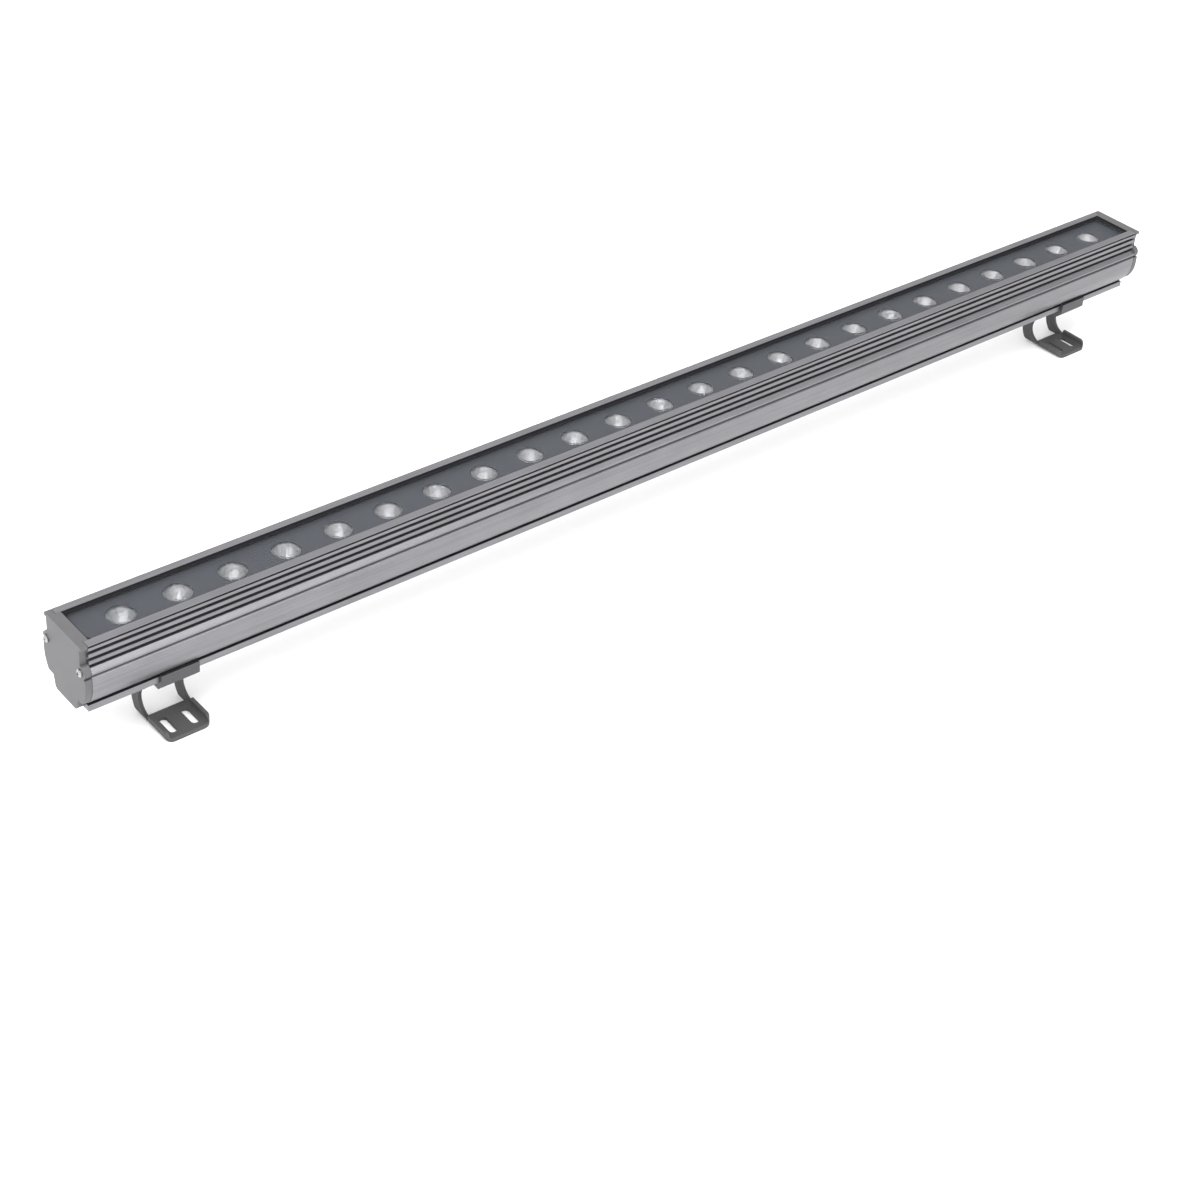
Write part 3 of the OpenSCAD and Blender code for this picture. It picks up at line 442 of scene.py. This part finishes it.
def lens_row(outline, first_x):
    """Spins one outline round the axis of each lens of a row."""
    row = bmesh.new()
    for number in range(LENS_COUNT):
        centre = Vector((first_x + number * lens_pitch, lens_y, lens_low.z))
        corners = [row.verts.new(centre + Vector((radius, 0, height))) for radius, height in outline]
        edges = [row.edges.new(pair) for pair in zip(corners, corners[1:])]
        bmesh.ops.spin(row, geom=corners + edges, cent=centre, axis=(0, 0, 1), angle=math.tau,
                       steps=LENS_STEPS, use_merge=True)
    bmesh.ops.remove_doubles(row, verts=row.verts, dist=MERGE_REACH)
    bmesh.ops.recalc_face_normals(row, faces=row.faces)
    for face in row.faces:
        face.smooth = True
    return row


# The cone is painted darker in its well, as painted shade there, so its colour follows the distance from the
# lens's own axis.
WELL_SHADE_R = 0.0042
WELL_SHADE_GREY = (0.09, 0.09, 0.095)
CUP_DARK, CUP_LIGHT = (0.19, 0.19, 0.194), (0.36, 0.36, 0.365)
cup_silver = Finish("lens_cone", Metallic=1.0)
cup_cloud = cup_silver.noise(cup_silver.place(), 260.0)
folded_x = cup_silver.node("ShaderNodeMath", {"operation": "PINGPONG"}, cup_silver.axis("X"), lens_pitch / 2)
along = lens_pitch / 2 - folded_x
across = cup_silver.axis("Y") - lens_y
from_axis = (along * along + across * across) ** 0.5
cup_tone = cup_silver.blend(cup_cloud, CUP_DARK, CUP_LIGHT)
out_of_well_shade = cup_silver.steps(from_axis, WELL_SHADE_R * 0.5, WELL_SHADE_R)
cup_silver.set("Base Color", cup_silver.blend(out_of_well_shade, WELL_SHADE_GREY, cup_tone))
cup_silver.set("Roughness", 0.3 + 0.2 * cup_cloud)
cup_silver.bump(cup_cloud, depth=0.0016, strength=0.7)

lens_clear = Finish("lens_front", Base_Color=(0.95, 0.95, 0.96), IOR=1.40, Transmission_Weight=1.0)
lens_cloud = lens_clear.noise(lens_clear.place(), 300.0, detail=2.0)
lens_clear.set("Roughness", 0.02 + 0.05 * lens_cloud)
for side in ("left", "right"):
    first_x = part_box("lenses_" + side)[0].x + lens_r
    cups = add_piece("lens_cones_" + side, lens_row(cup_outline(), first_x), cup_silver, "light")
    add_piece("lens_fronts_" + side, lens_row(front_outline(), first_x), lens_clear, "light")
    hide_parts("lenses_" + side)

# Chips and boards.
# Yellow phosphor chips are soldered to two aluminium boards with white solder resist.
# The boards are screwed to the shelf of the profile and joined by a small white connector.
PHOSPHOR_DARK, PHOSPHOR_LIGHT = (0.75, 0.6, 0.12), (0.9, 0.75, 0.25)
phosphor = Finish("phosphor", Roughness=0.3)
phosphor_grain = phosphor.noise(phosphor.place(), 2000.0, detail=2.0)
phosphor.set("Base Color", phosphor.blend(phosphor_grain, PHOSPHOR_DARK, PHOSPHOR_LIGHT))
dress(phosphor, "leds_left", "leds_right")

RESIST_DARK, RESIST_LIGHT = (0.75, 0.76, 0.74), (0.85, 0.86, 0.84)
resist = Finish("white_resist", Roughness=0.45)
resist_grain = resist.noise(resist.place(), 500.0, detail=2.0)
resist.set("Base Color", resist.blend(resist_grain, RESIST_DARK, RESIST_LIGHT))
dress(resist, "led_board_left", "led_board_right", "board_link")

# Feet.
# Each is folded from steel sheet and powder-coated dark grey with a fine texture.
# Its two arms turn on the pivot bolt, and its plate has two slots for fixing screws.
POWDER_DARK, POWDER_LIGHT = (0.036, 0.035, 0.036), (0.064, 0.062, 0.063)
powder = Finish("powder_coat")
powder_grain = powder.noise(powder.place(), 1600.0)
powder.set("Base Color", powder.blend(powder_grain, POWDER_DARK, POWDER_LIGHT))
powder.set("Roughness", 0.5 + 0.2 * powder_grain)
powder.bump(powder_grain, depth=0.0001, strength=0.6)
dress(powder, "yoke_left", "yoke_right")

# Clamps, and the bolts of the pivots.
# The clamps are sawn from an aluminium section and grip the rail between block and jaw.
# Screws, bolts, washers and lock nuts are stainless steel.
CLAMP_DARK, CLAMP_LIGHT = (0.058, 0.058, 0.062), (0.098, 0.098, 0.104)
clamp_metal = Finish("clamp_aluminium", Metallic=0.8)
clamp_lines = clamp_metal.noise(clamp_metal.place(x=8, y=700, z=700), 1.0)
clamp_metal.set("Base Color", clamp_metal.blend(clamp_lines, CLAMP_DARK, CLAMP_LIGHT))
clamp_metal.set("Roughness", 0.38 + 0.12 * clamp_lines)
for side in ("left", "right"):
    dress(clamp_metal, "clamp_block_" + side, "clamp_jaw_" + side)
    dress(stainless, "clamp_screws_" + side, "pivot_bolt_" + side)
    dress(stainless, "pivot_washers_" + side, "pivot_nut_" + side)

# Cable gland.
# Moulded in black nylon. Its body goes through the far cap and is held by a lock nut inside,
# and its outer nut presses a rubber seal on the cable.
NYLON_DARK, NYLON_LIGHT = (0.012, 0.012, 0.013), (0.028, 0.028, 0.03)
nylon = Finish("black_nylon", Roughness=0.5)
nylon_grain = nylon.noise(nylon.place(), 1200.0, detail=2.0)
nylon.set("Base Color", nylon.blend(nylon_grain, NYLON_DARK, NYLON_LIGHT))
dress(nylon, "gland_body", "gland_nut", "gland_locknut")

# Driver.
# An off-white moulded tray slides into the chamber under the shelf. In it lie a green circuit
# board, a transformer and a choke, black capacitors, and two red leads to the chips' board.
TRAY_DARK, TRAY_LIGHT = (0.68, 0.68, 0.63), (0.76, 0.76, 0.72)
tray_plastic = Finish("tray_plastic", Roughness=0.5)
tray_grain = tray_plastic.noise(tray_plastic.place(), 400.0, detail=2.0)
tray_plastic.set("Base Color", tray_plastic.blend(tray_grain, TRAY_DARK, TRAY_LIGHT))
dress(tray_plastic, "driver_tray")

LAMINATE_DARK, LAMINATE_LIGHT = (0.012, 0.09, 0.03), (0.02, 0.14, 0.05)
laminate = Finish("green_laminate", Roughness=0.4)
laminate_weave = laminate.noise(laminate.place(), 700.0, detail=2.0)
laminate.set("Base Color", laminate.blend(laminate_weave, LAMINATE_DARK, LAMINATE_LIGHT))
dress(laminate, "driver_board")

WOUND_DARK, WOUND_LIGHT = (0.02, 0.02, 0.022), (0.05, 0.045, 0.04)
wound_parts = Finish("wound_parts", Roughness=0.4)
wound_grain = wound_parts.noise(wound_parts.place(), 500.0, detail=2.0)
wound_parts.set("Base Color", wound_parts.blend(wound_grain, WOUND_DARK, WOUND_LIGHT))
dress(wound_parts, "driver_transformer", "driver_capacitors")

LEAD_DARK, LEAD_LIGHT = (0.4, 0.02, 0.015), (0.5, 0.03, 0.02)
red_lead = Finish("red_lead", Roughness=0.4)
lead_grain = red_lead.noise(red_lead.place(), 600.0, detail=2.0)
red_lead.set("Base Color", red_lead.blend(lead_grain, LEAD_DARK, LEAD_LIGHT))
dress(red_lead, "driver_leads")
